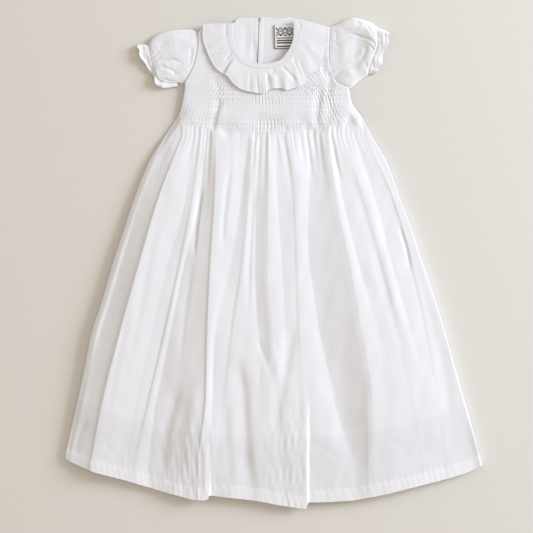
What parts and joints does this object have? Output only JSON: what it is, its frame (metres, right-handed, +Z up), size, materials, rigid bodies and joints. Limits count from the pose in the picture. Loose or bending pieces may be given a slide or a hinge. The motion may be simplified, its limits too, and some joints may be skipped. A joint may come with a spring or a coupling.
{
  "type": "toddler dress",
  "caption": "Long white cotton dress for a toddler, laid flat: smocked chest, gathered collar, puff sleeves, full skirt in soft folds over an underskirt.",
  "frame": {"origin": "middle of the laid dress's outline, on the surface that it lies on", "axes": "+Y from the hem to the neck, +X to the wearer's left as seen from above, +Z up out of the front"},
  "size_m": [0.5623, 0.6618, 0.021],
  "materials": {
    "cotton": "fine plain-weave cotton, matt, slightly see-through",
    "lining": "fine plain-weave cotton, matt",
    "label": "woven ribbon, matt"
  },
  "bodies": {
    "root": {"front_panel": "cotton", "back_skirt": "cotton", "back_bodice_left": "cotton", "back_bodice_right": "cotton", "sleeve_left": "cotton", "sleeve_right": "cotton", "collar": "cotton", "collar_back_left": "cotton", "collar_back_right": "cotton", "neck_binding": "cotton", "underskirt": "lining", "label": "label"}
  },
  "joints": []
}
